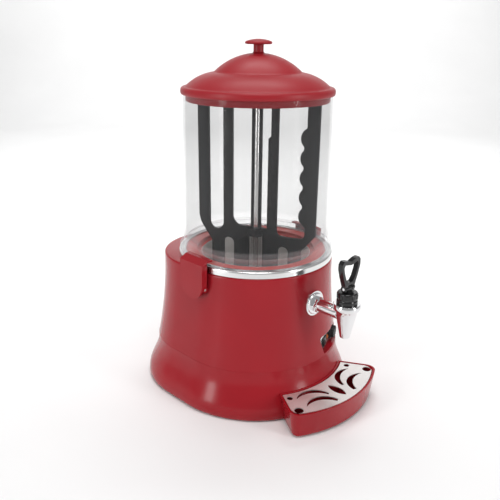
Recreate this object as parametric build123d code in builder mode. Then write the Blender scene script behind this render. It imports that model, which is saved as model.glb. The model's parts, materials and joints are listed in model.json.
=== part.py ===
from build123d import *
import math
import os

# Counter-top dispenser for hot, thick drinks and sauces: a clear tank on a heated base, with a stirrer,
# a tap and a drip tray.  Millimetres, +Z up.  The origin is the middle of the footprint on the floor.
# The tap faces -Y.  Every distance below is measured from the tank axis, which stands at Y = axis_y.

axis_y = 18.0  # tank and stirrer axis behind the middle of the footprint

# base casing
foot_radius = 160.0  # widest front radius of the skirt, so the object is twice this wide
foot_height = 12.0  # height of the widest section
foot_edge_radius = 157.5  # rolled-in bottom edge
foot_edge_height = 2.0
seam_height = 79.0  # seam between skirt and upper shell
seam_radius = 142.3
deck_height = 229.5  # top deck of the upper shell
deck_radius = 128.4
flare_radius = 833.0  # radius of the long flare of the upper shell
corner_share = 0.8  # rear corner radius as a share of the front radius
back_extra = 22.0  # the back stands this much further out than the front
wall = 2.5

# tank, rim and lid
tank_top = 493.2
tank_top_radius = 116.0
tank_foot_radius = 119.8
tank_wall = 3.0
flange_top = 249.0
flange_radius = 126.3
rim_top = 241.0
rim_radius = 128.0
lid_seat = 493.5
total_height = 570.0

# vessels under the tank
pot_radius = 91.2
pot_floor = 150.0
bath_radius = 121.5
bath_floor = 124.0
sheet = 1.2
bracket_top = 112.5

# stirrer
paddle_angle = -65.0  # direction of the paddle's right edge, seen from above
paddle_half = 102.0
leg_half = 79.0
paddle_foot = 157.0
paddle_top = 490.0
paddle_thickness = 5.0
rod_radius = 4.45
drive_radius = 5.0
running_gap = 0.06

# tap
tap_reach = 193.0  # tap's vertical axis in front of the tank axis
tap_height = 177.0  # height of the shank
shank_radius = 10.4
lever_pin_height = 222.0

# latches
latch_face = 141.5
latch_half = 26.5
latch_top = 246.0
latch_tip = 186.0
latch_pin_x = 134.0
latch_pin_height = 205.0
latch_pin_radius = 2.0

# drip tray
tray_reach = 218.0  # front of the tray in front of the tank axis
tray_top = 44.7
tray_floor = 4.2
tray_half_angle = 30.0
tray_wall = 2.2
tray_corner = 9.0  # at the floor; the leaning walls make it larger above
tray_gap = 0.8  # between the tray and the skirt
grate_top = 44.0
grate_sheet = 1.5
grate_gap = 1.5  # between the grate and the tray's walls

# control recess
panel_angle = -66.0
panel_depth = 130.0  # distance of the recess floor from the tank axis
panel_height = 96.75
panel_sheet = 1.2
knob_offset = 18.0
lamp_offset = -3.5
switch_offset = -23.5


def level(height):
    """Horizontal plane on the tank axis."""
    return Plane((0, axis_y, height))


def facing(distance, height=0.0):
    """Upright plane in front of the tank axis that looks towards -Y."""
    return Plane(origin=(0, axis_y - distance, height), x_dir=(1, 0, 0), z_dir=(0, -1, 0))


def panel_view(distance):
    """Upright plane parallel to the control panel."""
    across = math.radians(panel_angle)
    origin = (distance * math.cos(across), axis_y + distance * math.sin(across), panel_height)
    return Plane(origin=origin, x_dir=(-math.sin(across), math.cos(across), 0),
                 z_dir=(math.cos(across), math.sin(across), 0))


def turned(points, reach=0.0, mode=Mode.ADD):
    """Body of revolution about an upright axis, from (radius, height) corners."""
    with BuildSketch(facing(reach)) as section:
        with BuildLine():
            Polyline(*points, close=True)
        make_face()
    revolve(section.sketch, axis=Axis((0, axis_y - reach, 0), (0, 0, 1)), mode=mode)


def post(radius, low, high, at=(0, 0), mode=Mode.ADD):
    """Upright round bar between two heights."""
    with BuildSketch(level(low)) as circle:
        with Locations(at):
            Circle(radius)
    extrude(circle.sketch, amount=high - low, mode=mode)


def barrel(radius, back, front, height=tap_height, mode=Mode.ADD):
    """Round bar along Y between two distances in front of the tank axis."""
    with BuildSketch(facing(back, height)) as circle:
        Circle(radius)
    extrude(circle.sketch, amount=front - back, mode=mode)


def hexagon(corner_radius, back, front):
    """Hexagonal nut blank along Y."""
    with BuildSketch(facing(back, tap_height)) as outline:
        RegularPolygon(corner_radius, 6)
    extrude(outline.sketch, amount=front - back)


def block(low, high, mode=Mode.ADD):
    """Box between two corners."""
    middle = [(a + b) / 2 for a, b in zip(low, high)]
    size = [b - a for a, b in zip(low, high)]
    with Locations((middle[0], axis_y + middle[1], middle[2])):
        Box(*size, mode=mode)


def shell_outline(radius, height):
    """Section of the casing: half round in front of the tank axis, rounded square behind it."""
    corner = corner_share * radius
    side = radius - corner
    back = radius + back_extra - corner
    with BuildSketch(level(height)) as outline:
        with BuildLine():
            ThreePointArc((-radius, 0), (0, -radius), (radius, 0))
            Line((radius, 0), (radius, back))
            CenterArc((side, back), corner, 0, 90)
            Line((side, back + corner), (-side, back + corner))
            CenterArc((-side, back), corner, 90, 90)
            Line((-radius, back), (-radius, 0))
        make_face()
    return outline.sketch


def shell_radius(height):
    """Front radius of the upper shell at a height."""
    return deck_radius + (deck_height - height) ** 2 / (2 * flare_radius)


def skirt_radius(height):
    """Front radius of the skirt at a height: an S-shaped flare from the seam to the foot."""
    drop = min(1.0, (seam_height - height) / (seam_height - foot_height)) ** 1.25
    return seam_radius + (foot_radius - seam_radius) * drop * drop * (3 - 2 * drop)


def skirt_sections(inset):
    """Sections of the skirt from the foot to the seam, moved in by the wall."""
    heights = [foot_height, 20.0, 30.0, 42.0, 54.0, 66.0, seam_height]
    return [shell_outline(skirt_radius(height) - inset, height) for height in heights]


# ---------------------------------------------------------------- casing
shell_heights = [seam_height, 120.0, 170.0, deck_height]
with BuildPart() as shell_form:
    loft([shell_outline(shell_radius(height), height) for height in shell_heights])
    fillet(shell_form.faces().sort_by(Axis.Z)[-1].edges(), 2.4)


def recess_outline(distance, grow):
    """Outline of the control recess, wider at the top."""
    high = 15.25 + grow
    with BuildSketch(panel_view(distance)) as outline:
        with BuildLine():
            Polyline((-44.5 - grow, high), (44.5 + grow, high), (37 + grow, -high), (-37 - grow, -high),
                     close=True)
        make_face()
        fillet(outline.vertices(), 3)
    return outline.sketch


pin_ears = [(side, y) for side in (-1, 1) for y in (-15.0, 15.0)]

with BuildPart() as recess_form:
    extrude(recess_outline(panel_depth - wall, wall), amount=25)
    add(shell_form.part, mode=Mode.INTERSECT)

with BuildPart() as upper_shell:
    add(shell_form.part)
    inner_heights = [seam_height - 1, 120.0, 170.0, deck_height - wall]
    loft([shell_outline(shell_radius(height) - wall, height) for height in inner_heights],
         mode=Mode.SUBTRACT)
    post(bath_radius + 0.7, deck_height - 10, deck_height + 1, mode=Mode.SUBTRACT)
    add(recess_form.part)
    extrude(recess_outline(panel_depth, 0), amount=30, mode=Mode.SUBTRACT)
    with BuildSketch(panel_view(panel_depth - 5)):
        with Locations((switch_offset, 0)):
            Rectangle(19.2, 13.2)
        with Locations((knob_offset, 0)):
            Circle(5.2)
        with Locations((lamp_offset, 0)):
            Circle(3.15)
    extrude(amount=8, mode=Mode.SUBTRACT)
    barrel(shank_radius + 0.6, 120, 140, mode=Mode.SUBTRACT)
    # rear pad that carries the mains inlet
    block((-33, 155, 82), (33, 163.5, 118))
    block((-14.2, 150, 89.8), (14.2, 165, 110.2), mode=Mode.SUBTRACT)
    # ears that carry the latch pins
    for side, ear_y in pin_ears:
        inner, outer = 125.6, latch_pin_x
        low, high = sorted((side * inner, side * outer))
        block((low, ear_y - 2, latch_pin_height - 4), (high, ear_y + 2, latch_pin_height + 4))
        with BuildSketch(Plane(origin=(side * latch_pin_x, axis_y + ear_y - 2, latch_pin_height),
                               x_dir=(1, 0, 0), z_dir=(0, 1, 0))) as ear_end:
            Circle(4)
        extrude(ear_end.sketch, amount=4)
        with BuildSketch(Plane(origin=(side * latch_pin_x, axis_y + ear_y - 3, latch_pin_height),
                               x_dir=(1, 0, 0), z_dir=(0, 1, 0))) as ear_bore:
            Circle(latch_pin_radius + 0.02)
        extrude(ear_bore.sketch, amount=6, mode=Mode.SUBTRACT)

boss_places = [(side * x, y) for side in (-1, 1) for x, y in ((101.0, -101.0), (114.0, 123.0))]
with BuildPart() as skirt_form:
    loft(skirt_sections(0))
    loft([shell_outline(foot_edge_radius, foot_edge_height), shell_outline(foot_radius - 0.6, 5.0),
          shell_outline(foot_radius, foot_height)])

with BuildPart() as skirt_bosses:
    for place in boss_places:
        post(7, 6, 66, at=place)
    add(skirt_form.part, mode=Mode.INTERSECT)

with BuildPart() as lower_skirt:
    add(skirt_form.part)
    loft(skirt_sections(wall), mode=Mode.SUBTRACT)
    loft([shell_outline(foot_edge_radius - wall, foot_edge_height),
          shell_outline(foot_radius - wall, foot_height)], mode=Mode.SUBTRACT)
    # tongue that locates the upper shell
    extrude(shell_outline(seam_radius - 1.6, seam_height - 6), amount=6)
    extrude(shell_outline(seam_radius - 4.2, seam_height), amount=5)
    extrude(shell_outline(seam_radius - 6.5, seam_height - 8), amount=20, mode=Mode.SUBTRACT)
    add(skirt_bosses.part)
    for place in boss_places:
        post(1.9, 0, 30, at=place, mode=Mode.SUBTRACT)
    add(shell_form.part, mode=Mode.SUBTRACT)
    extrude(shell_outline(foot_radius, 0), amount=100, mode=Mode.INTERSECT)

foot_places = [(side * x, y) for side in (-1, 1) for x, y in ((100.0, -76.0), (84.0, 110.0))]
with BuildPart() as base_plate:
    extrude(shell_outline(foot_edge_radius - wall - 0.8, 4), amount=2)
    for place in boss_places:
        post(2.1, 3, 7, at=place, mode=Mode.SUBTRACT)
    for place in foot_places:
        post(2.2, 3, 7, at=place, mode=Mode.SUBTRACT)
    with BuildSketch(level(3)):
        with GridLocations(12, 60, 7, 2):
            SlotOverall(40, 5, rotation=90)
    extrude(amount=4, mode=Mode.SUBTRACT)

with BuildPart() as base_screws:
    for place in boss_places:
        post(1.85, 4, 24, at=place)
        post(3.8, 2.2, 4, at=place)

with BuildPart() as rubber_feet:
    for place in foot_places:
        post(13, 0, 4, at=place)
        post(4.4, 0, 2, at=place, mode=Mode.SUBTRACT)
        post(2.2, 1, 5, at=place, mode=Mode.SUBTRACT)

with BuildPart() as foot_screws:
    for place in foot_places:
        post(2.1, 2, 14, at=place)
        post(4.0, 0.8, 2, at=place)

# ---------------------------------------------------------------- vessels and heating
flange = 124.5
with BuildPart() as water_bath:
    rim = deck_height + 1.5
    turned([(9, bath_floor), (bath_radius, bath_floor), (bath_radius, deck_height), (flange, deck_height),
            (flange, rim), (bath_radius - sheet, rim), (bath_radius - sheet, bath_floor + sheet),
            (9, bath_floor + sheet)])
    barrel(shank_radius + 0.4, 110, 130, mode=Mode.SUBTRACT)

pot_seat = deck_height + 1.5
pot_rim = pot_seat + 1.5
with BuildPart() as product_pot:
    turned([(9, pot_floor), (pot_radius - 6, pot_floor), (pot_radius, pot_floor + 6), (pot_radius, pot_seat),
            (flange, pot_seat), (flange, pot_rim), (pot_radius - sheet, pot_rim),
            (pot_radius - sheet, pot_floor + 6.6), (pot_radius - 6.6, pot_floor + sheet),
            (9, pot_floor + sheet)])
    barrel(shank_radius + 0.1, 80, 100, mode=Mode.SUBTRACT)

with BuildPart() as outlet_sleeve:
    barrel(13, pot_radius + 0.9, bath_radius - 1.9)
    barrel(shank_radius + 0.4, pot_radius - 5, bath_radius + 5, mode=Mode.SUBTRACT)

seat_radius = 116.5
seat_top = 239.0
with BuildPart() as rim_ring:
    turned([(rim_radius - 0.6, deck_height + 0.4), (rim_radius, deck_height + 1.2), (rim_radius, rim_top - 2.6),
            (rim_radius - 0.9, rim_top - 0.8), (rim_radius - 2.8, rim_top), (seat_radius + 0.4, rim_top),
            (seat_radius + 0.4, rim_top - 1.6), (rim_radius - 2.4, rim_top - 1.6),
            (rim_radius - 2.4, deck_height + 0.4)])

with BuildPart() as tank_gasket:
    turned([(91.6, pot_rim), (seat_radius, pot_rim), (seat_radius, seat_top), (98, seat_top),
            (98, pot_rim + 1.5), (91.6, pot_rim + 1.5)])

element_radius = 68.0
element_height = 137.0
with BuildPart() as heating_element:
    with BuildSketch(facing(0, element_height)) as tube:
        with Locations((element_radius, 0)):
            Circle(4.5)
    revolve(tube.sketch, axis=Axis((0, axis_y, 0), (0, 0, 1)))

terminal_places = [(x, math.sqrt(element_radius ** 2 - x ** 2)) for x in (-14.0, 14.0)]
with BuildPart() as element_terminals:
    for place in terminal_places:
        post(4.3, 106, element_height - 4.6, at=place)

with BuildPart() as element_nuts:
    for place in terminal_places:
        with BuildSketch(level(118)) as nut:
            with Locations(place):
                RegularPolygon(9, 6)
        extrude(nut.sketch, amount=bath_floor - 118)
        post(4.6, 110, 130, at=place, mode=Mode.SUBTRACT)

with BuildPart() as water_bath_bored:
    add(water_bath.part)
    for place in terminal_places:
        post(4.6, 120, 130, at=place, mode=Mode.SUBTRACT)
    post(3.1, 120, 130, at=(-45, 20), mode=Mode.SUBTRACT)

with BuildPart() as temperature_sensor:
    post(3, 113, 146, at=(-45, 20))
    post(5.5, 119, bath_floor, at=(-45, 20))

with BuildPart() as thermal_cutout:
    post(9, 118, bath_floor, at=(45, 12))
    block((36, 9, 115), (39, 15, 118.5))
    block((51, 9, 115), (54, 15, 118.5))

# ---------------------------------------------------------------- drive
screw_places = [(x, y) for x in (-24, 24) for y in (-18, 18)]
with BuildPart() as motor_bracket:
    block((-80, -30, bracket_top - 2.5), (80, 30, bracket_top))
    for side in (-1, 1):
        low, high = sorted((side * 77.5, side * 80))
        block((low, -30, 6), (high, 30, bracket_top))
        low, high = sorted((side * 77.5, side * 98))
        block((low, -30, 6), (high, 30, 8.5))
    post(8, 100, 120, mode=Mode.SUBTRACT)
    for place in screw_places:
        post(2.1, 100, 120, at=place, mode=Mode.SUBTRACT)

with BuildPart() as gearbox:
    block((-32, -26, 90), (32, 26, bracket_top - 2.5))
    fillet(gearbox.edges().filter_by(Axis.Z), 5)
    post(drive_radius + running_gap, 97, 120, mode=Mode.SUBTRACT)
    for place in screw_places:
        post(2.0, 102, 120, at=place, mode=Mode.SUBTRACT)

with BuildPart() as drive_motor:
    post(30, 34, 84)
    post(12, 28, 34)
    post(22, 84, 90)

with BuildPart() as motor_screws:
    for place in screw_places:
        post(1.95, 103, bracket_top, at=place)
        post(4, bracket_top, bracket_top + 2.6, at=place)

with BuildPart() as shaft_tube:
    turned([(6.5, bracket_top), (9, bracket_top), (9, pot_floor + sheet), (6.5, pot_floor + sheet)])

with BuildPart() as shaft_seal:
    seal_low = pot_floor + sheet
    turned([(drive_radius + running_gap, seal_low), (12, seal_low), (12, seal_low + 1.8),
            (8, seal_low + 6), (drive_radius + running_gap, seal_low + 6)])

with BuildPart() as drive_shaft:
    post(drive_radius, 99, 168)

with BuildPart() as shaft_coupling:
    post(8, 160, 176)
    post(drive_radius, 159, 168, mode=Mode.SUBTRACT)
    post(rod_radius, 160, 177, mode=Mode.SUBTRACT)
    fillet(shaft_coupling.edges().group_by(Axis.Z)[-1], 0.8)

# ---------------------------------------------------------------- stirrer
with BuildPart() as stirrer_rod:
    post(rod_radius, 168, 492)

with BuildPart() as rod_nut:
    turned([(rod_radius, paddle_top), (8, paddle_top), (8, paddle_top + 4), (6.5, paddle_top + 9),
            (0, paddle_top + 10.5), (0, 492), (rod_radius, 492)])

with BuildPart() as rod_sleeve:
    turned([(9, 178), (11, 178), (11, 257.5), (9, 257.5)])

turn = math.radians(paddle_angle)
paddle_plane = Plane(origin=(0, axis_y, 0), x_dir=(math.cos(turn), math.sin(turn), 0),
                     z_dir=(math.sin(turn), -math.cos(turn), 0))
bump_heights = [425.0, 393.7, 362.4, 331.1, 299.8]
with BuildPart() as paddle:
    with BuildSketch(paddle_plane) as blade:
        with BuildLine():
            Polyline((-paddle_half, paddle_top), (-paddle_half, 285), (-98.5, 272), (-95, 266), (-leg_half, 243),
                     (-leg_half, paddle_foot), (leg_half, paddle_foot), (leg_half, 240), (84, 246),
                     (paddle_half, 268), (paddle_half, paddle_top), close=True)
        make_face()
        fillet(blade.vertices().filter_by_position(Axis.Z, 480, 500), 6)
        bar_top = paddle_top - 10
        # long gap between the two left bars
        with BuildLine():
            Polyline((-82.5, bar_top), (-82.5, 275.5))
            ThreePointArc((-82.5, 275.5), (-70, 263), (-57.5, 275.5))
            Polyline((-57.5, 275.5), (-57.5, bar_top), (-82.5, bar_top))
        make_face(mode=Mode.SUBTRACT)
        # gap beside the middle bar, with a round lower corner
        with BuildLine():
            Polyline((-41, bar_top), (-41, 290))
            ThreePointArc((-41, 290), (-36.5, 278), (-25, 273))
            Polyline((-25, 273), (-8.5, 273), (-8.5, bar_top), (-41, bar_top))
        make_face(mode=Mode.SUBTRACT)
        # narrow gap on the other side, with a step
        with BuildLine():
            Polyline((8.5, bar_top), (8.5, 272), (19.5, 272), (19.5, 421), (23.8, 425), (23.8, bar_top),
                     close=True)
        make_face(mode=Mode.SUBTRACT)
        # scalloped window
        with BuildLine():
            Polyline((36, bar_top), (36, 270))
            ThreePointArc((36, 270), (39, 264), (46, 261.5))
            Line((46, 261.5), (76, 261))
            ThreePointArc((76, 261), (82, 264), (84, 271))
            Polyline((84, 271), (84, 281), (78, bump_heights[-1] - 13))
            for number, middle in enumerate(reversed(bump_heights)):
                ThreePointArc((78, middle - 13), (72.5, middle), (78, middle + 13))
                top = middle + 18.3 if middle < bump_heights[0] else middle + 13
                if top > middle + 13:
                    Line((78, middle + 13), (78, top))
            Polyline((78, bump_heights[0] + 13), (82, bump_heights[0] + 16), (82, bar_top), (36, bar_top))
        make_face(mode=Mode.SUBTRACT)
        # slots that open downwards, and the slot for the sleeve
        for low, high, crown in ((-57.0, -38.5, 250.0), (39.3, 57.0, 244.0)):
            middle = (low + high) / 2
            with BuildLine():
                Polyline((low, crown - 9), (low, paddle_foot - 1), (high, paddle_foot - 1), (high, crown - 9))
                ThreePointArc((high, crown - 9), (middle, crown), (low, crown - 9))
            make_face(mode=Mode.SUBTRACT)
        with Locations((0, (paddle_foot + 259) / 2)):
            Rectangle(24, 259 - paddle_foot, mode=Mode.SUBTRACT)
    extrude(amount=paddle_thickness / 2, both=True)
    post(13.5, 259, 270.5)
    post(9, bar_top, paddle_top)
    post(rod_radius, 250, 500, mode=Mode.SUBTRACT)

# ---------------------------------------------------------------- tank and lid
with BuildPart() as tank:
    inner_top = tank_top_radius - tank_wall
    turned([(tank_top_radius, tank_top), (tank_foot_radius, 262), (120.4, flange_top + 1.5),
            (121.6, flange_top), (flange_radius - 1.2, flange_top), (flange_radius, flange_top - 1.4),
            (flange_radius, rim_top), (117.4, rim_top), (117.2, 252), (115.6, 257), (95.6, 240.5),
            (95.6, pot_rim + 1.5), (92.6, pot_rim + 1.5), (92.6, 242), (116.2, 266), (inner_top, tank_top)])
    fillet(tank.edges().group_by(Axis.Z)[-1], 1.0)

with BuildPart() as lid:
    with BuildSketch(facing(0)) as lid_section:
        with BuildLine():
            Polyline((3, 549.3), (10.5, 549.3))
            ThreePointArc((10.5, 549.3), (41, 540.5), (66, 523.6))
            Line((66, 523.6), (68, 521.6))
            ThreePointArc((68, 521.6), (93.5, 513.8), (112.6, 500.2))
            ThreePointArc((112.6, 500.2), (117.6, 499.4), (119.6, 496.6))
            ThreePointArc((119.6, 496.6), (119.8, 494.6), (118.4, lid_seat))
            Polyline((118.4, lid_seat), (112.2, lid_seat), (112.2, 478.8), (109.7, 478.8), (109.7, 498.5))
            ThreePointArc((109.7, 498.5), (91, 511.6), (66.5, 519.2))
            ThreePointArc((66.5, 519.2), (40, 538), (8, 546.8))
            Polyline((8, 546.8), (3, 546.8), (3, 549.3))
        make_face()
    revolve(lid_section.sketch, axis=Axis((0, axis_y, 0), (0, 0, 1)))

with BuildPart() as lid_knob:
    with BuildSketch(facing(0)) as knob_section:
        with BuildLine():
            Polyline((1.95, 549.3), (9.5, 549.3), (9.5, 551))
            ThreePointArc((9.5, 551), (7.6, 553), (7.4, 556))
            ThreePointArc((7.4, 556), (8.6, 560.5), (13, 562))
            Line((13, 562), (18.4, 562))
            ThreePointArc((18.4, 562), (20.8, 564.6), (19.2, 567))
            ThreePointArc((19.2, 567), (10.5, 569.2), (1, total_height))
            Polyline((1, total_height), (0, total_height), (0, 561), (1.95, 561), (1.95, 549.3))
        make_face()
    revolve(knob_section.sketch, axis=Axis((0, axis_y, 0), (0, 0, 1)))

with BuildPart() as knob_screw:
    post(1.9, 545, 560)
    post(4.6, 543.8, 546.8)

# ---------------------------------------------------------------- tap
with BuildPart() as escutcheon:
    barrel(20.4, 126, 132.6)
    barrel(17.6, 132.6, 135.4)
    fillet(escutcheon.edges().group_by(Axis.Y)[0], 2.2)
    add(shell_form.part, mode=Mode.SUBTRACT)
    barrel(shank_radius + 0.15, 120, 140, mode=Mode.SUBTRACT)

with BuildPart() as shank_nut:
    hexagon(12.4, 135.4, 144)
    chamfer(shank_nut.faces().sort_by(Axis.Y)[0].edges(), 1)
    barrel(shank_radius + 0.02, 130, 150, mode=Mode.SUBTRACT)

with BuildPart() as shank_lock_nut:
    hexagon(15.4, 82.6, 86.6)
    barrel(shank_radius + 0.02, 80, 90, mode=Mode.SUBTRACT)

with BuildPart() as shank_washer:
    barrel(14.6, 86.6, 88.7)
    barrel(shank_radius + 0.02, 80, 90, mode=Mode.SUBTRACT)

with BuildPart() as tap_body:
    turned([(5.5, 141), (7.8, 141), (16.6, 183.5), (20.4, 188.6), (21, 191), (21, 195.4), (19.8, 197.2),
            (12.6, 197.2), (12.6, 172), (5.5, 163)], reach=tap_reach)
    barrel(shank_radius, 82, tap_reach - 12.6)
    post(12.6, 172, 198, at=(0, -tap_reach), mode=Mode.SUBTRACT)
    barrel(6, 81, tap_reach - 8, mode=Mode.SUBTRACT)

with BuildPart() as tap_bonnet:
    turned([(3, 211.5), (3, 216), (14.2, 216), (15.4, 214.6), (15.4, 206), (14.6, 204.5), (15.9, 202.5),
            (15.9, 197.2), (12.5, 197.2), (12.5, 190), (10, 190), (10, 211.5)], reach=tap_reach)
    block((-5, -tap_reach - 5, 215), (5, -tap_reach + 5, lever_pin_height))
    with BuildSketch(Plane(origin=(-5, axis_y - tap_reach, lever_pin_height), x_dir=(0, 1, 0),
                           z_dir=(1, 0, 0))) as post_top:
        Circle(5)
    extrude(post_top.sketch, amount=10)
    post(3, 210, 219.5, at=(0, -tap_reach), mode=Mode.SUBTRACT)
    with BuildSketch(Plane(origin=(-6, axis_y - tap_reach, lever_pin_height), x_dir=(0, 1, 0),
                           z_dir=(1, 0, 0))) as pin_bore:
        Circle(2.02)
    extrude(pin_bore.sketch, amount=12, mode=Mode.SUBTRACT)

with BuildPart() as lever_pin:
    with BuildSketch(Plane(origin=(-11, axis_y - tap_reach, lever_pin_height), x_dir=(0, 1, 0),
                           z_dir=(1, 0, 0))) as pin_section:
        Circle(2)
    extrude(pin_section.sketch, amount=22)

lever_depth = 8.0
with BuildPart() as tap_lever:
    with BuildSketch(facing(tap_reach - lever_depth / 2)) as loop:
        with BuildLine():
            Polyline((-5.4, 218.2), (-10.6, 218.2), (-11.2, 226), (-17.6, 242), (-22, 256), (-21.8, 264),
                     (-17.6, 268.5), (-9, 267.5), (0, 264.5), (9, 267.5), (17.6, 268.5), (21.8, 264), (22, 256),
                     (17.6, 242), (11.2, 226), (10.6, 218.2), (5.4, 218.2), (5.4, 227.9), (-5.4, 227.9),
                     close=True)
        make_face()
        with BuildLine():
            Polyline((-5, 232), (-10.5, 238), (-15.4, 250), (-17.2, 258), (-14.5, 262), (0, 259), (14.5, 262),
                     (17.2, 258), (15.4, 250), (10.5, 238), (5, 232), close=True)
        make_face(mode=Mode.SUBTRACT)
    extrude(loop.sketch, amount=lever_depth)
    for side in (-1, 1):
        with BuildSketch(Plane(origin=(side * 8, axis_y - tap_reach, lever_pin_height), x_dir=(0, 1, 0),
                               z_dir=(1, 0, 0))) as eye:
            Circle(5.4)
        extrude(eye.sketch, amount=2.6, both=True)
    with BuildSketch(Plane(origin=(-12, axis_y - tap_reach, lever_pin_height), x_dir=(0, 1, 0),
                           z_dir=(1, 0, 0))) as eye_bore:
        Circle(2 + running_gap)
    extrude(eye_bore.sketch, amount=24, mode=Mode.SUBTRACT)

with BuildPart() as valve_seal:
    turned([(0, 163.4), (5, 163.4), (9.4, 169), (9.4, 172.5), (0, 172.5)], reach=tap_reach)

with BuildPart() as valve_stem:
    post(2.6, 172.5, 213, at=(0, -tap_reach))
    post(8.2, 176, 178, at=(0, -tap_reach))

with BuildPart() as valve_spring:
    coil = Helix(pitch=5.5, height=31, radius=6.6, center=(0, axis_y - tap_reach, 179.2))
    with BuildSketch(Plane(origin=coil @ 0, z_dir=coil % 0)) as wire:
        Circle(0.8)
    sweep(wire.sketch, path=coil, is_frenet=True)

# ---------------------------------------------------------------- latches
def tongue_outline(inward, inset):
    """Tapered outline of the latch, seen from its side of the machine."""
    with BuildSketch(Plane(origin=(-latch_face + inward, axis_y, 0), x_dir=(0, -1, 0),
                           z_dir=(-1, 0, 0))) as outline:
        with BuildLine():
            Polyline((-latch_half + inset, latch_top), (-24.8 + inset, 212))
            ThreePointArc((-24.8 + inset, 212), (-17.5 + inset, 194 + inset / 2), (0, latch_tip + inset))
            ThreePointArc((0, latch_tip + inset), (17.5 - inset, 194 + inset / 2), (24.8 - inset, 212))
            Polyline((24.8 - inset, 212), (latch_half - inset, latch_top), (-latch_half + inset, latch_top))
        make_face()
    return outline.sketch


with BuildPart() as latch_left:
    extrude(tongue_outline(0, 0), amount=-10)
    extrude(tongue_outline(3, 3), amount=-10, mode=Mode.SUBTRACT)
    with BuildSketch(Plane(origin=(0, axis_y - latch_half, 0), x_dir=(1, 0, 0), z_dir=(0, -1, 0))) as hook:
        with BuildLine():
            Polyline((-latch_face, 240), (-latch_face, latch_top), (-129.5, 252.2), (-121.6, 252.2),
                     (-121.6, flange_top + 0.4), (-129, flange_top + 0.4), (-138.5, 244), (-138.5, 240), close=True)
        make_face()
    extrude(hook.sketch, amount=-2 * latch_half)
    # room for the lower end to swing in
    block((-138.5, -40, 180), (-125, 40, latch_pin_height - 4), mode=Mode.SUBTRACT)
    for ear_y in (-22.6, 22.6):
        with BuildSketch(Plane(origin=(-latch_pin_x, axis_y + ear_y - 1.5, latch_pin_height),
                               x_dir=(1, 0, 0), z_dir=(0, 1, 0))) as hinge_eye:
            Circle(4.2)
        extrude(hinge_eye.sketch, amount=3)
    with BuildSketch(Plane(origin=(-latch_pin_x, axis_y - 30, latch_pin_height),
                           x_dir=(1, 0, 0), z_dir=(0, 1, 0))) as hinge_bore:
        Circle(latch_pin_radius + running_gap)
    extrude(hinge_bore.sketch, amount=60, mode=Mode.SUBTRACT)

with BuildPart() as latch_right:
    mirror(latch_left.part, about=Plane.YZ)

with BuildPart() as latch_pins:
    for side in (-1, 1):
        with BuildSketch(Plane(origin=(side * latch_pin_x, axis_y - 24, latch_pin_height),
                               x_dir=(1, 0, 0), z_dir=(0, 1, 0))) as latch_pin:
            Circle(latch_pin_radius)
        extrude(latch_pin.sketch, amount=48)

# ---------------------------------------------------------------- drip tray
def tray_outline(outer, half_angle, corner, height, inset=0.0):
    """Plan of the tray: a ring sector in front of the skirt, with rounded corners."""
    swing = math.radians(half_angle)
    inner = 120.0

    def at(radius, angle):
        shift = inset / math.cos(angle) if angle else 0.0
        return (radius * math.sin(angle) - math.copysign(shift, angle) * (1 if angle else 0),
                -radius * math.cos(angle))

    with BuildSketch(level(height)) as outline:
        with BuildLine():
            Line(at(inner, -swing), at(outer, -swing))
            ThreePointArc(at(outer, -swing), (0, -outer), at(outer, swing))
            Line(at(outer, swing), at(inner, swing))
            Line(at(inner, swing), at(inner, -swing))
        make_face()
        fillet(outline.vertices().group_by(Axis.Y)[0], corner)
    return outline.sketch


tray_heights = [tray_floor, 8.0, foot_height, 16.0, 20.0, 25.0, 30.0, 36.0, 41.0, tray_top]


def tray_section(gap, floor):
    """Corners of the tray's section; the inner side follows the skirt and the front is left long."""
    inner = [(skirt_radius(height) + gap, height) for height in tray_heights if height > floor]
    first = (skirt_radius(floor) + gap, floor)
    front = tray_reach + 9
    return [(front, floor), (front, tray_top), *reversed(inner), first]


tray_lean = 8.0  # degrees that the front and side walls lean out
tray_spread = tray_top * math.tan(math.radians(tray_lean))
with BuildPart() as tray_form:
    turned(tray_section(tray_gap, tray_floor))
    extrude(tray_outline(tray_reach - tray_spread, tray_half_angle, tray_corner, 0, inset=tray_spread), amount=60,
            taper=-tray_lean, mode=Mode.INTERSECT)

with BuildPart() as tray_inside:
    turned([(x, z + (2 if z == tray_top else 0)) for x, z in
            tray_section(tray_gap + tray_wall, tray_floor + tray_wall)])
    extrude(tray_outline(tray_reach - tray_spread - tray_wall, tray_half_angle, tray_corner - tray_wall, 0,
                         inset=tray_spread + tray_wall), amount=60, taper=-tray_lean, mode=Mode.INTERSECT)

ledge = 3.0
with BuildPart() as tray_ledge:
    post(tray_reach, grate_top - grate_sheet - 3, grate_top - grate_sheet)
    extrude(tray_outline(tray_reach - tray_wall - ledge, tray_half_angle, 12, 0, inset=tray_wall + ledge),
            amount=60, mode=Mode.SUBTRACT)
    add(tray_form.part, mode=Mode.INTERSECT)

with BuildPart() as drip_tray:
    add(tray_form.part)
    add(tray_inside.part, mode=Mode.SUBTRACT)
    add(tray_ledge.part)
    for angle in (-20, 0, 20):
        place = (190 * math.sin(math.radians(angle)), -190 * math.cos(math.radians(angle)))
        post(6, 0, tray_floor, at=place)

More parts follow.
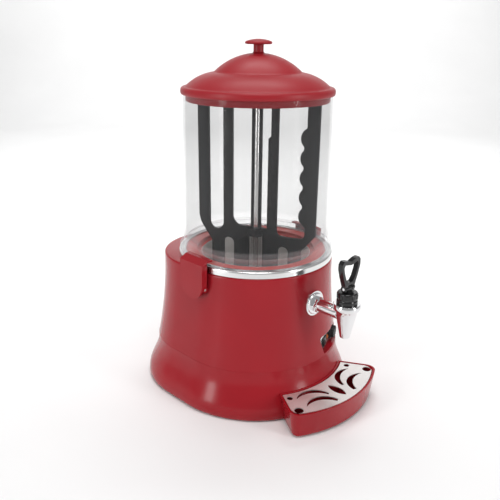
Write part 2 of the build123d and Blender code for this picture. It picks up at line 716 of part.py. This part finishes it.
grate_inset = tray_spread + tray_wall + grate_gap
with BuildPart() as drip_grate:
    extrude(tray_outline(tray_reach - grate_inset, tray_half_angle, tray_corner, 0, inset=grate_inset),
            amount=60, taper=-tray_lean)
    post(tray_reach, grate_top - grate_sheet, grate_top, mode=Mode.INTERSECT)
    with BuildSketch(level(grate_top - grate_sheet)) as holes:
        Circle(skirt_radius(grate_top - grate_sheet) + tray_gap + tray_wall + 1.8)
        for side in (-1, 1):
            with Locations((side * 72.6, -148.3 - 1.5)):
                Circle(4.8)
            with Locations((side * 87.2, -181.0)):
                Circle(7.3)
            with BuildLine():
                ThreePointArc((side * 67.5, -159), (side * 32.4, -155.9), (side * 16.5, -183))
                Line((side * 16.5, -183), (side * 20.5, -184.5))
                ThreePointArc((side * 20.5, -184.5), (side * 36, -164.5), (side * 67.5, -159))
            make_face()
            with BuildLine():
                ThreePointArc((side * 71, -183), (side * 34.4, -178.6), (side * 19.5, -203.5))
                Line((side * 19.5, -203.5), (side * 25.5, -205.5))
                ThreePointArc((side * 25.5, -205.5), (side * 39, -187.5), (side * 71, -183))
            make_face()
        with BuildLine():
            ThreePointArc((0, -167.2), (7.6, -185.6), (0, -204))
            ThreePointArc((0, -204), (-7.6, -185.6), (0, -167.2))
        make_face()
    extrude(holes.sketch, amount=grate_sheet, mode=Mode.SUBTRACT)

# ---------------------------------------------------------------- controls
with BuildPart() as control_panel:
    extrude(recess_outline(panel_depth, -0.4), amount=panel_sheet)
    with BuildSketch(panel_view(panel_depth - 1)):
        with Locations((switch_offset, 0)):
            Rectangle(19.2, 13.2)
        with Locations((knob_offset, 0)):
            Circle(5.2)
        with Locations((lamp_offset, 0)):
            Circle(3.15)
    extrude(amount=4, mode=Mode.SUBTRACT)

panel_face = panel_depth + panel_sheet
rocker_depth = panel_depth - 0.4
pivot = panel_view(rocker_depth)


def rocker_pin(radius, half):
    """Upright round section on the rocker's pivot axis, below its middle by half its length."""
    with BuildSketch(Plane(origin=pivot.from_local_coords((switch_offset, -half, 0)), x_dir=pivot.x_dir,
                           z_dir=pivot.y_dir)) as pin:
        Circle(radius)
    return pin.sketch


with BuildPart() as switch_housing:
    with BuildSketch(panel_view(panel_face)) as frame:
        with Locations((switch_offset, 0)):
            RectangleRounded(21.4, 15.4, 1.2)
    extrude(frame.sketch, amount=1.6)
    with BuildSketch(panel_view(panel_depth - 16)) as body:
        with Locations((switch_offset, 0)):
            Rectangle(19, 13)
    extrude(body.sketch, amount=16 + panel_sheet)
    with BuildSketch(panel_view(panel_depth - 7)) as mouth:
        with Locations((switch_offset, 0)):
            Rectangle(17, 10.8)
    extrude(mouth.sketch, amount=20, mode=Mode.SUBTRACT)
    extrude(rocker_pin(1.5 + running_gap, 6.6), amount=13.2, mode=Mode.SUBTRACT)

rocker_tilt = 8.0
with BuildPart() as power_rocker:
    side_view = Plane(origin=pivot.from_local_coords((switch_offset, -5.1, 0)), x_dir=pivot.x_dir,
                      z_dir=-pivot.y_dir)
    with BuildSketch(side_view.rotated((0, 0, rocker_tilt))) as rocker_side:
        with BuildLine():
            Polyline((-7.2, -3.4), (7.2, -3.4), (7.2, 4.2), (0, 3.0), (-7.2, 4.2), close=True)
        make_face()
    extrude(rocker_side.sketch, amount=-10.2)
    extrude(rocker_pin(1.5, 6.4), amount=12.8)

with BuildPart() as indicator_lamp:
    with BuildSketch(panel_view(panel_depth - 9)) as lamp_body:
        with Locations((lamp_offset, 0)):
            Circle(3)
    extrude(lamp_body.sketch, amount=9 + panel_sheet)
    with BuildSketch(panel_view(panel_face)) as lens:
        with Locations((lamp_offset, 0)):
            Circle(3)
    extrude(lens.sketch, amount=2.4, taper=25)
    with BuildSketch(panel_view(panel_face)) as lamp_collar:
        with Locations((lamp_offset, 0)):
            Circle(4.2)
    extrude(lamp_collar.sketch, amount=1)

with BuildPart() as thermostat:
    with BuildSketch(panel_view(panel_depth - wall - 18)) as can:
        with Locations((knob_offset, 0)):
            RectangleRounded(30, 26, 3)
    extrude(can.sketch, amount=18)
    with BuildSketch(panel_view(panel_depth - wall)) as bush:
        with Locations((knob_offset, 0)):
            Circle(5)
    extrude(bush.sketch, amount=wall + panel_sheet)
    with BuildSketch(panel_view(panel_depth - 12)) as spindle_bore:
        with Locations((knob_offset, 0)):
            Circle(3 + running_gap)
    extrude(spindle_bore.sketch, amount=20, mode=Mode.SUBTRACT)

with BuildPart() as thermostat_spindle:
    with BuildSketch(panel_view(panel_depth - 11)) as spindle:
        with Locations((knob_offset, 0)):
            Circle(3)
    extrude(spindle.sketch, amount=11 + panel_sheet + 6)

with BuildPart() as temperature_knob:
    with BuildSketch(panel_view(panel_face + 0.5)) as knob_foot:
        with Locations((knob_offset, 0)):
            Circle(12.6)
    extrude(knob_foot.sketch, amount=3)
    with BuildSketch(panel_view(panel_face + 3.5)) as knob_grip:
        with Locations((knob_offset, 0)):
            Circle(10.4)
            with PolarLocations(10.4, 12):
                Circle(1.1, mode=Mode.SUBTRACT)
    extrude(knob_grip.sketch, amount=5.4, taper=4)
    with BuildSketch(panel_view(panel_face + 3.5)) as knob_pointer:
        with Locations((knob_offset, 8.2)):
            Rectangle(1.6, 7)
    extrude(knob_pointer.sketch, amount=6)
    with BuildSketch(panel_view(panel_face)) as knob_bore:
        with Locations((knob_offset, 0)):
            Circle(3)
    extrude(knob_bore.sketch, amount=6, mode=Mode.SUBTRACT)

# ---------------------------------------------------------------- mains inlet at the back
inlet_height = 100.0
with BuildPart() as power_inlet:
    block((-25, 163.5, 86), (25, 165.7, 114))
    fillet(power_inlet.edges().filter_by(Axis.Y), 4)
    block((-14, 143, 90), (14, 163.5, 110))
    block((-12, 148, 91.8), (12, 166, 108.2), mode=Mode.SUBTRACT)
    for x in (-20, 20):
        with BuildSketch(facing(-170, inlet_height)) as hole:
            with Locations((x, 0)):
                Circle(1.7)
        extrude(hole.sketch, amount=10, mode=Mode.SUBTRACT)

with BuildPart() as inlet_pins:
    for x, z in ((-7, 98), (7, 98), (0, 103)):
        block((x - 1, 148, z - 2), (x + 1, 159.5, z + 2))

with BuildPart() as inlet_screws:
    for x in (-20, 20):
        with BuildSketch(facing(-166.9, inlet_height)) as head:
            with Locations((x, 0)):
                Circle(3)
        extrude(head.sketch, amount=1.2)
        with BuildSketch(facing(-165.7, inlet_height)) as thread:
            with Locations((x, 0)):
                Circle(1.6)
        extrude(thread.sketch, amount=2.2)

with BuildPart() as terminal_block:
    block((-24, 92, 6), (24, 110, 22))
    for x in (-16, 0, 16):
        post(2.4, 14, 23, at=(x, 101), mode=Mode.SUBTRACT)

pieces = {
    "upper_shell": upper_shell,
    "lower_skirt": lower_skirt,
    "base_plate": base_plate,
    "base_screws": base_screws,
    "rubber_feet": rubber_feet,
    "foot_screws": foot_screws,
    "water_bath": water_bath_bored,
    "product_pot": product_pot,
    "outlet_sleeve": outlet_sleeve,
    "rim_ring": rim_ring,
    "tank_gasket": tank_gasket,
    "heating_element": heating_element,
    "element_terminals": element_terminals,
    "element_nuts": element_nuts,
    "temperature_sensor": temperature_sensor,
    "thermal_cutout": thermal_cutout,
    "motor_bracket": motor_bracket,
    "gearbox": gearbox,
    "drive_motor": drive_motor,
    "motor_screws": motor_screws,
    "shaft_tube": shaft_tube,
    "shaft_seal": shaft_seal,
    "drive_shaft": drive_shaft,
    "shaft_coupling": shaft_coupling,
    "stirrer_rod": stirrer_rod,
    "rod_nut": rod_nut,
    "rod_sleeve": rod_sleeve,
    "paddle": paddle,
    "tank": tank,
    "lid": lid,
    "lid_knob": lid_knob,
    "knob_screw": knob_screw,
    "escutcheon": escutcheon,
    "shank_nut": shank_nut,
    "shank_lock_nut": shank_lock_nut,
    "shank_washer": shank_washer,
    "tap_body": tap_body,
    "tap_bonnet": tap_bonnet,
    "lever_pin": lever_pin,
    "tap_lever": tap_lever,
    "valve_seal": valve_seal,
    "valve_stem": valve_stem,
    "valve_spring": valve_spring,
    "latch_left": latch_left,
    "latch_right": latch_right,
    "latch_pins": latch_pins,
    "drip_tray": drip_tray,
    "drip_grate": drip_grate,
    "control_panel": control_panel,
    "switch_housing": switch_housing,
    "power_rocker": power_rocker,
    "indicator_lamp": indicator_lamp,
    "thermostat": thermostat,
    "thermostat_spindle": thermostat_spindle,
    "temperature_knob": temperature_knob,
    "power_inlet": power_inlet,
    "inlet_pins": inlet_pins,
    "inlet_screws": inlet_screws,
    "terminal_block": terminal_block,
}

os.makedirs("parts", exist_ok=True)
for label, piece in pieces.items():
    piece.part.label = label
    export_step(piece.part, f"parts/{label}.step")
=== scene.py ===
import json
import math

import bpy
import bmesh
from mathutils import Matrix, Vector


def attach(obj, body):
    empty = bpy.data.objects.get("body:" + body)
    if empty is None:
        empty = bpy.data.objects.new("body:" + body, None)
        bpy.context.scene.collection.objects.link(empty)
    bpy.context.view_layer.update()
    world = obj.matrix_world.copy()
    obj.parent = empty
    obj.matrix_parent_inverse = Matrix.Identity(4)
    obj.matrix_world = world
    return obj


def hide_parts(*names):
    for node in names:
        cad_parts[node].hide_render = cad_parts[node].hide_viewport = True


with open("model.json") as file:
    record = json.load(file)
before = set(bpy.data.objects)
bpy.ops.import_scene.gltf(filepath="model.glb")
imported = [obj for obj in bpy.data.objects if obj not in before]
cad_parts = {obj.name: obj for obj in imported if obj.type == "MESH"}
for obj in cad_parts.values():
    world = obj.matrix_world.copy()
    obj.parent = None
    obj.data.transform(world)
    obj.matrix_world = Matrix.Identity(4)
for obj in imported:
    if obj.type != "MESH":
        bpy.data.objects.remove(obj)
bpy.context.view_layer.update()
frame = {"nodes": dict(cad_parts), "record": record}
nodes = frame["nodes"]
slots = {row["node"]: row["material_slot"] for row in frame["record"]["subparts"]}

MM = 0.001
AXIS_Y = 0.018  # the tank's upright axis, in metres
TAP_Y = -193    # the tap's upright axis, in millimetres behind (+) or in front (-) of the tank's
FLANGE_TOP = 0.262  # below this height the tank wall thickens into its flange, in metres

# Looks that differ from the one named by the node's own material slot.
SPECIAL_LOOKS = {"product_pot": "pot_steel", "drip_grate": "pot_steel"}
# Pieces with large holes in flat faces. Joined into one outline such a face is filled in wrongly.
FACES_KEPT = {"tap_lever", "paddle"}
# Width of the rounded edges of each moulded piece, in millimetres.
EDGE_WIDTHS = {
    "upper_shell": 0.5, "lower_skirt": 0.6, "latch_left": 0.9, "latch_right": 0.9, "drip_tray": 0.5,
    "tap_lever": 1.1, "paddle": 0.5, "tap_body": 0.4, "tap_bonnet": 0.5, "shank_nut": 0.3,
    "escutcheon": 0.5, "temperature_knob": 0.3, "control_panel": 0.2, "power_rocker": 0.3,
    "switch_housing": 0.3, "power_inlet": 0.4, "rubber_feet": 0.4,
}


# ---------------------------------------------------------------- materials
def new_material(name):
    """New material with its node tree and its main shader."""
    material = bpy.data.materials.new(name)
    material.use_nodes = True
    tree = material.node_tree
    shader = next(node for node in tree.nodes if node.type == "BSDF_PRINCIPLED")
    return material, tree, shader


def noise(tree, scale, detail=3.0, stretch=(1, 1, 1)):
    """Noise over the object's own position, so that it is the same from every side."""
    place = tree.nodes.new("ShaderNodeTexCoord")
    mapping = tree.nodes.new("ShaderNodeMapping")
    mapping.inputs["Scale"].default_value = stretch
    texture = tree.nodes.new("ShaderNodeTexNoise")
    texture.inputs["Scale"].default_value = scale
    texture.inputs["Detail"].default_value = detail
    tree.links.new(place.outputs["Object"], mapping.inputs["Vector"])
    tree.links.new(mapping.outputs["Vector"], texture.inputs["Vector"])
    return texture.outputs["Fac"]


def ramp(tree, value, stops):
    """Turns a 0..1 value into colours or grey levels."""
    node = tree.nodes.new("ShaderNodeValToRGB")
    while len(node.color_ramp.elements) < len(stops):
        node.color_ramp.elements.new(0.5)
    for element, (position, colour) in zip(node.color_ramp.elements, stops):
        element.position = position
        element.color = (*colour, 1) if isinstance(colour, tuple) else (colour, colour, colour, 1)
    tree.links.new(value, node.inputs["Fac"])
    return node.outputs["Color"]


def bump(tree, shader, value, strength, distance):
    """Fine relief in the surface."""
    node = tree.nodes.new("ShaderNodeBump")
    node.inputs["Strength"].default_value = strength
    node.inputs["Distance"].default_value = distance
    tree.links.new(value, node.inputs["Height"])
    tree.links.new(node.outputs["Normal"], shader.inputs["Normal"])


def blend(tree, kind, factor, first, second):
    """Mixes two numbers or two colours."""
    mix = tree.nodes.new("ShaderNodeMix")
    mix.data_type = kind
    sockets = [socket for socket in mix.inputs if socket.enabled]
    tree.links.new(factor, sockets[0])
    tree.links.new(first, sockets[1])
    tree.links.new(second, sockets[2])
    return next(socket for socket in mix.outputs if socket.enabled)


def tint(colour, amount):
    """The same colour, lighter or darker."""
    return tuple(min(1.0, c * amount) for c in colour)


def plastic(name, colour, roughness, spread=0.05, grain=0.0, specular=0.5):
    """Coloured plastic or rubber with slight unevenness. A grain gives it a fine matt texture."""
    material, tree, shader = new_material(name)
    cloud = noise(tree, 9.0)
    tree.links.new(ramp(tree, cloud, [(0.3, tint(colour, 0.94)), (0.7, tint(colour, 1.06))]),
                   shader.inputs["Base Color"])
    fine = noise(tree, 60.0)
    tree.links.new(ramp(tree, fine, [(0.3, roughness - spread / 2), (0.7, roughness + spread / 2)]),
                   shader.inputs["Roughness"])
    shader.inputs["Specular IOR Level"].default_value = specular
    if grain:
        bump(tree, shader, noise(tree, 900.0), grain, 0.0004)
    else:
        bump(tree, shader, noise(tree, 45.0), 0.04, 0.002)
    return material


def metal(name, colour, roughness, brushed=None, spread=0.06):
    """Bare or plated metal, with streaks along one direction if it is brushed."""
    material, tree, shader = new_material(name)
    shader.inputs["Metallic"].default_value = 1.0
    stretch = brushed or (1, 1, 1)
    streaks = noise(tree, 260.0 if brushed else 12.0, 3.0, stretch)
    tree.links.new(ramp(tree, streaks, [(0.3, tint(colour, 0.96)), (0.7, tint(colour, 1.03))]),
                   shader.inputs["Base Color"])
    tree.links.new(ramp(tree, streaks, [(0.3, roughness - spread / 2), (0.7, roughness + spread / 2)]),
                   shader.inputs["Roughness"])
    bump(tree, shader, streaks, 0.03 if brushed else 0.02, 0.0002)
    return material


def see_through(name, colour, edge_sheen_colour, thin, edge, thick_below=None):
    """Clear moulded plastic: a faint tint of its own where it is seen square on, denser at its edges, with a
    painted sheen that makes its colour lighter towards the edges.
    Below the height thick_below, in metres, the moulding is thicker and shows more; there its colour is painted
    whitish, a painted sheen for the light the thick plastic catches."""
    material, tree, shader = new_material(name)
    haze = noise(tree, 14.0)
    tree.links.new(ramp(tree, haze, [(0.3, 0.04), (0.7, 0.08)]), shader.inputs["Roughness"])
    slant = tree.nodes.new("ShaderNodeLayerWeight")
    slant.inputs["Blend"].default_value = 0.35
    facing = slant.outputs["Facing"]
    # Painted sheen: the colour turns lighter towards the edges, standing in for the reflections along them. The
    # face-on tint is the plastic's own.
    tint_and_edge_sheen = ramp(tree, facing, [(0.0, colour), (0.5, tint(colour, 1.3)), (0.85, edge_sheen_colour)])
    density = ramp(tree, facing, [(0.0, thin), (0.55, thin * 1.5), (0.85, edge * 0.4), (1.0, edge)])
    if thick_below:
        place = tree.nodes.new("ShaderNodeTexCoord")
        split = tree.nodes.new("ShaderNodeSeparateXYZ")
        height = tree.nodes.new("ShaderNodeMapRange")
        height.inputs["From Min"].default_value = thick_below
        height.inputs["From Max"].default_value = thick_below + 0.006
        height.inputs["To Min"].default_value = 1.0
        height.inputs["To Max"].default_value = 0.0
        tree.links.new(place.outputs["Object"], split.inputs["Vector"])
        tree.links.new(split.outputs["Z"], height.inputs["Value"])
        thick = ramp(tree, facing, [(0.0, 0.05), (0.5, 0.16), (0.8, 0.42), (1.0, 0.85)])
        density = blend(tree, "FLOAT", height.outputs["Result"], density, thick)
        # Painted sheen: below the flange top the colour is whitish and lighter towards the edges, for the light
        # the thick plastic catches.
        white = ramp(tree, facing, [(0.0, tint(edge_sheen_colour, 1.9)), (0.6, tint(edge_sheen_colour, 2.2))])
        tint_and_edge_sheen = blend(tree, "RGBA", height.outputs["Result"], tint_and_edge_sheen, white)
    tree.links.new(tint_and_edge_sheen, shader.inputs["Base Color"])
    tree.links.new(density, shader.inputs["Alpha"])
    return material


BRUSHED_X = (1, 14, 14)
looks = {
    "red_shell": plastic("red_shell", (0.31, 0.009, 0.0155), 0.2, specular=0.28),
    "clear_tank": see_through("clear_tank", (0.09, 0.092, 0.095), (0.34, 0.35, 0.36), 0.1, 0.6,
                              thick_below=FLANGE_TOP),
    "smoke_plastic": see_through("smoke_plastic", (0.16, 0.14, 0.13), (0.2, 0.18, 0.17), 0.12, 0.5),
    "black_gloss": plastic("black_gloss", (0.008, 0.008, 0.0085), 0.14, specular=0.5),
    "black_matte": plastic("black_matte", (0.028, 0.028, 0.028), 0.5, grain=0.06, specular=0.2),
    "red_satin": plastic("red_satin", (0.30, 0.009, 0.0155), 0.42, specular=0.34),
    "satin_ring": metal("satin_ring", (0.82, 0.82, 0.82), 0.2, spread=0.04),
    "pot_steel": metal("pot_steel", (0.93, 0.91, 0.89), 0.5, brushed=BRUSHED_X),
    "red_silicone": plastic("red_silicone", (0.62, 0.035, 0.02), 0.4),
    "stainless": metal("stainless", (0.70, 0.69, 0.68), 0.24, brushed=BRUSHED_X, spread=0.04),
    "chrome": metal("chrome", (0.83, 0.83, 0.84), 0.07, spread=0.03),
    "zinc_steel": metal("zinc_steel", (0.55, 0.55, 0.56), 0.35),
    "rubber_black": plastic("rubber_black", (0.02, 0.02, 0.02), 0.65, grain=0.2),
    "silicone_white": plastic("silicone_white", (0.72, 0.71, 0.69), 0.5),
    "motor_paint": plastic("motor_paint", (0.03, 0.03, 0.033), 0.45, grain=0.1),
    "brass_part": metal("brass_part", (0.72, 0.5, 0.2), 0.3),
    "amber_lens": plastic("amber_lens", (0.45, 0.11, 0.02), 0.15),
}


def add_piece(name, mesh, body, look, *replaced, slot=None):
    """Puts a finished mesh in the scene in place of CAD nodes."""
    piece = bpy.data.objects.new(name, mesh)
    bpy.context.collection.objects.link(piece)
    mesh.materials.clear()
    mesh.materials.append(looks[look])
    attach(piece, body)
    if replaced:
        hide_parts(*replaced)
    return piece


def body_of(node_name):
    """Name of the moving body that a CAD node belongs to."""
    bodies = frame["record"]["behaviour"]["bodies"]
    return next(body for body, members in bodies.items() if node_name in members)


def soften(piece, width, angle):
    """Rounds the sharp edges of a piece and shades it smooth."""
    bevel = piece.modifiers.new("soft_edges", "BEVEL")
    bevel.width = width * MM
    bevel.segments = 3
    bevel.limit_method = "ANGLE"
    bevel.angle_limit = math.radians(angle)
    bevel.harden_normals = True
    bevel.miter_outer = "MITER_ARC"


def moulded(node_name, width, angle=35):
    """Detailed copy of a CAD node: flat faces joined unless kept, rounded edges, smooth shading."""
    source = nodes[node_name].data
    form = bmesh.new()
    form.from_mesh(source)
    bmesh.ops.remove_doubles(form, verts=form.verts, dist=0.004 * MM)
    if node_name not in FACES_KEPT:
        bmesh.ops.dissolve_limit(form, angle_limit=math.radians(0.4), verts=form.verts, edges=form.edges)
    mesh = bpy.data.meshes.new(node_name + "_skin")
    form.to_mesh(mesh)
    form.free()
    mesh.polygons.foreach_set("use_smooth", [True] * len(mesh.polygons))
    mesh.set_sharp_from_angle(angle=math.radians(angle))
    look = SPECIAL_LOOKS.get(node_name, slots[node_name])
    piece = add_piece(mesh.name, mesh, body_of(node_name), look, node_name, slot=slots[node_name])
    soften(piece, width, angle)


for node_name, node in nodes.items():
    if not node.material_slots:
        node.data.materials.append(None)
    for material_slot in node.material_slots:
        material_slot.link = "OBJECT"
        material_slot.material = looks[SPECIAL_LOOKS.get(node_name, slots[node_name])]


def round_corners(points, radius, steps=4):
    """Closed outline of (radius, height) corners with every corner rounded as far as its sides allow."""
    outline = []
    count = len(points)
    for i, corner in enumerate(points):
        here, before, after = Vector(corner), Vector(points[i - 1]), Vector(points[(i + 1) % count])
        reach = min(radius, (before - here).length * 0.45, (after - here).length * 0.45)
        if here.x < 0.01 or reach < 0.02:
            outline.append(here)
            continue
        start = here + (before - here).normalized() * reach
        end = here + (after - here).normalized() * reach
        for step in range(steps + 1):
            t = step / steps
            outline.append(start * (1 - t) ** 2 + here * 2 * t * (1 - t) + end * t ** 2)
    return outline


def lathe(name, outline, turns):
    """Body of revolution of a closed outline, in millimetres, about the tank's axis."""
    form = bmesh.new()
    rings = []
    for point in outline:
        if point[0] < 0.01:
            rings.append([form.verts.new((0, AXIS_Y, point[1] * MM))])
            continue
        rings.append([form.verts.new((
            point[0] * math.cos(2 * math.pi * i / turns) * MM,
            AXIS_Y + point[0] * math.sin(2 * math.pi * i / turns) * MM,
            point[1] * MM)) for i in range(turns)])
    for ring, following in zip(rings, rings[1:] + rings[:1]):
        if len(ring) == 1 and len(following) == 1:
            continue
        for i in range(turns):
            corners = [ring[i % len(ring)], ring[(i + 1) % len(ring)], following[(i + 1) % len(following)],
                       following[i % len(following)]]
            form.faces.new(list(dict.fromkeys(corners)))
    bmesh.ops.recalc_face_normals(form, faces=form.faces)
    mesh = bpy.data.meshes.new(name)
    form.to_mesh(mesh)
    form.free()
    mesh.polygons.foreach_set("use_smooth", [True] * len(mesh.polygons))
    mesh.set_sharp_from_angle(angle=math.radians(50))
    return mesh


def arc(centre, radius, start, end, steps=16):
    """Points of an arc in a (radius, height) section, from one angle to another in degrees."""
    return [(centre[0] + radius * math.cos(math.radians(start + (end - start) * i / steps)),
             centre[1] + radius * math.sin(math.radians(start + (end - start) * i / steps)))
            for i in range(steps + 1)]


def arc_through(a, b, c, steps=20):
    """Points of the arc through three points of a section."""
    (ax, ay), (bx, by), (cx, cy) = a, b, c
    d = 2 * (ax * (by - cy) + bx * (cy - ay) + cx * (ay - by))
    a_square, b_square, c_square = ax * ax + ay * ay, bx * bx + by * by, cx * cx + cy * cy
    ux = (a_square * (by - cy) + b_square * (cy - ay) + c_square * (ay - by)) / d
    uy = (a_square * (cx - bx) + b_square * (ax - cx) + c_square * (bx - ax)) / d
    angles = [math.degrees(math.atan2(y - uy, x - ux)) for x, y in (a, b, c)]
    while angles[1] - angles[0] > 180:
        angles[1] -= 360
    while angles[1] - angles[0] < -180:
        angles[1] += 360
    while angles[2] - angles[1] > 180:
        angles[2] -= 360
    while angles[2] - angles[1] < -180:
        angles[2] += 360
    return arc((ux, uy), math.hypot(ax - ux, ay - uy), angles[0], angles[2], steps)


def make_tank():
    """Clear tank: a slightly tapered wall on a wide flange and a funnel down to the pot."""
    outline = round_corners([
        (116.0, 493.2), (119.8, 262.0), (120.4, 250.5), (121.6, 249.0), (126.3, 249.0), (126.3, 241.0),
        (117.4, 241.0), (117.2, 252.0), (115.6, 257.0), (95.6, 240.5), (95.6, 234.0), (92.6, 234.0),
        (92.6, 242.0), (116.2, 266.0), (113.0, 493.2)], 1.4)
    add_piece("tank_clear", lathe("tank_clear", outline, turns=256), "machine", "clear_tank", "tank")


def make_lid():
    """Domed lid with its rounded rim and the skirt that sits inside the tank."""
    outline = [(3, 546.8), (3, 549.3)]
    outline += arc_through((10.5, 549.3), (41, 540.5), (66, 523.6))
    outline += arc_through((68, 521.6), (93.5, 513.8), (112.0, 500.6))
    outline += arc_through((113.6, 500.1), (117.6, 499.3), (119.6, 496.6), 8)
    outline += arc_through((119.75, 495.4), (119.8, 492.0), (119.0, 489.4), 6)
    outline += [(118.2, 488.9), (117.5, 489.2), (117.2, 490.0), (117.2, 493.4), (116.8, 493.8),
                (113.0, 493.7), (112.2, 493.0), (112.2, 479.6), (111.4, 478.8), (110.4, 478.8),
                (109.7, 479.6), (109.7, 498.2)]
    outline += arc_through((109.4, 498.7), (91, 511.6), (66.5, 519.2))
    outline += arc_through((65.8, 519.7), (40, 538), (8, 546.8))
    mesh = lathe("lid_dome", outline, turns=200)
    add_piece(mesh.name, mesh, "lid", "red_satin", "lid", slot="red_shell")


def make_knob():
    """Button knob on top of the lid."""
    outline = [(0, 569.85), (0, 550.0), (9.0, 549.5)]
    outline += arc_through((9.2, 550.0), (8.2, 550.8), (7.8, 552.2), 6)
    outline += arc_through((7.8, 560.6), (8.2, 561.7), (9.4, 562.1), 6)
    outline += [(18.0, 562.0)]
    outline += arc_through((19.4, 562.2), (20.8, 563.6), (20.3, 565.4), 8)
    outline += arc_through((19.6, 566.4), (12.0, 568.6), (0.6, 569.85), 14)
    mesh = lathe("knob_turned", outline, turns=96)
    add_piece(mesh.name, mesh, "lid", "red_satin", "lid_knob", slot="red_shell")


def make_rim():
    """Bright ring around the top of the base."""
    outline = round_corners([
        (127.4, 229.9), (128.0, 230.7), (128.0, 238.4), (127.1, 240.2), (125.2, 241.0), (116.9, 241.0),
        (116.9, 239.4), (125.6, 239.4), (125.6, 229.9)], 0.8)
    mesh = lathe("rim_band", outline, turns=256)
    add_piece(mesh.name, mesh, "machine", "satin_ring", "rim_ring", slot="chrome")


def make_rod():
    """Stirrer rod and the tube around its lower end."""
    outline = round_corners([(0, 491.9), (4.45, 491.9), (4.45, 168.1), (0, 168.1)], 0.4)
    add_piece("rod_turned", lathe("rod_turned", outline, turns=48), "agitator", "stainless", "stirrer_rod")
    outline = round_corners([(9, 178), (11, 178), (11, 257.5), (9, 257.5)], 0.5)
    add_piece("sleeve_tube", lathe("sleeve_tube", outline, turns=64), "agitator", "smoke_plastic", "rod_sleeve")


def make_bonnet():
    """Grip lugs around the black screwed cap of the tap."""
    mesh = bpy.data.meshes.new("bonnet_lugs")
    form = bmesh.new()
    lugs = 10
    centre = Matrix.Translation((0, AXIS_Y + TAP_Y * MM, 209.9 * MM))
    outward = Matrix.Translation((15.0 * MM, 0, 0))
    for number in range(lugs):
        place = centre @ Matrix.Rotation(2 * math.pi * number / lugs, 4, "Z") @ outward
        size = Matrix.Diagonal((2.6 * MM, 4.2 * MM, 6.6 * MM, 1))
        lug = bmesh.ops.create_cube(form, size=1.0, matrix=place @ size)
        edges = list(dict.fromkeys(edge for vert in lug["verts"] for edge in vert.link_edges))
        bmesh.ops.bevel(form, geom=edges, offset=0.6 * MM, segments=3, affect="EDGES", profile=0.6)
    form.to_mesh(mesh)
    form.free()
    mesh.polygons.foreach_set("use_smooth", [True] * len(mesh.polygons))
    mesh.set_sharp_from_angle(angle=math.radians(50))
    add_piece("bonnet_lugs", mesh, "machine", "black_gloss")


make_bonnet()
make_tank()
make_lid()
make_knob()
make_rim()
make_rod()
for node_name, width in EDGE_WIDTHS.items():
    moulded(node_name, width)


# ---------------------------------------------------------------- floor, light and camera
def backdrop():
    """Pale floor that curves up into a wall far behind."""
    mesh = bpy.data.meshes.new("floor")
    plan = bmesh.new()
    size, bend, wall = 3.0, 1.0, 2.5
    profile = [(-size, 0.0)]
    profile += [(size + bend * math.sin(a), bend - bend * math.cos(a))
                for a in (math.radians(step * 9) for step in range(11))]
    profile.append((size + bend, wall))
    rows = [[plan.verts.new((x, y, z)) for y, z in profile] for x in (-5, 5)]
    for i in range(len(profile) - 1):
        plan.faces.new((rows[0][i], rows[1][i], rows[1][i + 1], rows[0][i + 1]))
    plan.to_mesh(mesh)
    plan.free()
    mesh.polygons.foreach_set("use_smooth", [True] * len(mesh.polygons))
    floor = bpy.data.objects.new("floor", mesh)
    floor.rotation_euler[2] = math.radians(-45)
    bpy.context.collection.objects.link(floor)
    material, tree, shader = new_material("floor_paint")
    tree.links.new(ramp(tree, noise(tree, 2.0), [(0.3, (0.86, 0.86, 0.86)), (0.7, (0.9, 0.9, 0.9))]),
                   shader.inputs["Base Color"])
    shader.inputs["Roughness"].default_value = 0.6
    mesh.materials.append(material)


def soft_light(name, place, target, size, power):
    """Large soft lamp aimed at a point."""
    data = bpy.data.lights.new(name, "AREA")
    data.shape = "RECTANGLE"
    data.size, data.size_y = size
    data.energy = power
    light = bpy.data.objects.new(name, data)
    light.location = place
    light.rotation_euler = (Vector(target) - Vector(place)).to_track_quat("-Z", "Y").to_euler()
    bpy.context.collection.objects.link(light)


backdrop()
soft_light("light_left", (-2.1, 0.3, 0.8), (0, 0, 0.3), (0.4, 1.6), 17)
soft_light("light_right", (0.5, -2.1, 0.8), (0, 0, 0.3), (0.4, 1.6), 17)
soft_light("light_top", (-0.6, -0.6, 2.5), (0, 0, 0.2), (1.2, 1.2), 22)
soft_light("light_wall", (0.6, 0.6, 2.6), (3.0, 3.0, 0.4), (1.5, 1.5), 90)
bpy.context.scene.cycles.transparent_max_bounces = 32
world = bpy.data.worlds.new("studio")
bpy.context.scene.world = world
world.use_nodes = True
world.node_tree.nodes["Background"].inputs["Color"].default_value = (1, 1, 1, 1)
world.node_tree.nodes["Background"].inputs["Strength"].default_value = 0.38
bpy.context.scene.view_settings.view_transform = "Standard"


def add_camera():
    """Camera at the viewing angle of the reference, aimed slightly down."""
    azimuth, distance, height = math.radians(-45.664), 0.97813, 0.57585
    pitch, roll, yaw = math.radians(19.38), math.radians(0.65), math.radians(0.56)
    level = Vector((-math.sin(azimuth), math.cos(azimuth), 0))
    level.rotate(Matrix.Rotation(yaw, 3, "Z"))
    ahead = level * math.cos(pitch) - Vector((0, 0, math.sin(pitch)))
    right = ahead.cross(Vector((0, 0, 1))).normalized()
    above = right.cross(ahead)
    tilted_right = right * math.cos(roll) + above * math.sin(roll)
    tilted_above = above * math.cos(roll) - right * math.sin(roll)
    turn = Matrix((tilted_right, tilted_above, -ahead)).transposed()
    camera = bpy.data.objects.new("camera", bpy.data.cameras.new("camera"))
    camera.data.lens = 44.14
    camera.data.clip_start = 0.05
    camera.matrix_world = (
        Matrix.Translation((math.sin(azimuth) * distance, AXIS_Y - math.cos(azimuth) * distance, height))
        @ turn.to_4x4())
    bpy.context.collection.objects.link(camera)
    bpy.context.scene.camera = camera


add_camera()
